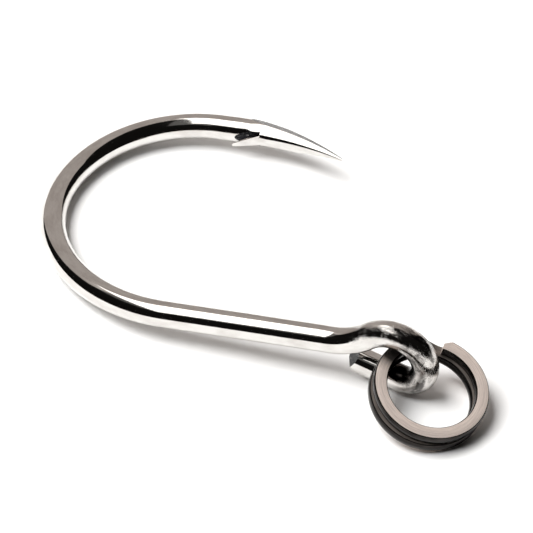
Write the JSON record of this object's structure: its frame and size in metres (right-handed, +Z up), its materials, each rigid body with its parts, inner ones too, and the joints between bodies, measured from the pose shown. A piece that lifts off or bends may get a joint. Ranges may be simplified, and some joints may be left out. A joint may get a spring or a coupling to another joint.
{
  "type": "fish hook with split ring",
  "caption": "Heavy barbed wire fish hook lying on its side, with a bent eye that carries a double-coil split ring for tying or clipping on a line or lure.",
  "frame": {"origin": "on the table, under the middle of the hook and its ring as they lie", "axes": "+X along the shank towards the eye, as seen from above; +Y across to the point; +Z up from the table"},
  "size_m": [0.06, 0.046, 0.01],
  "materials": {
    "bright_plating": "mirror-bright plated steel wire, a little rough where the eye was bent",
    "satin_steel": "satin flats with a fine lengthwise grain, darker rounded walls"
  },
  "bodies": {
    "hook": {"hook": "bright_plating"},
    "split_ring": {"split_ring": "satin_steel"}
  },
  "joints": [
    {"name": "ring_swing", "type": "hinge", "parent": "hook", "child": "split_ring", "pos_m": [0.01808, -0.01359, 0.00495], "axis": [-0.4597, -0.8857, -0.0651], "range_deg": [-130, 160]}
  ]
}
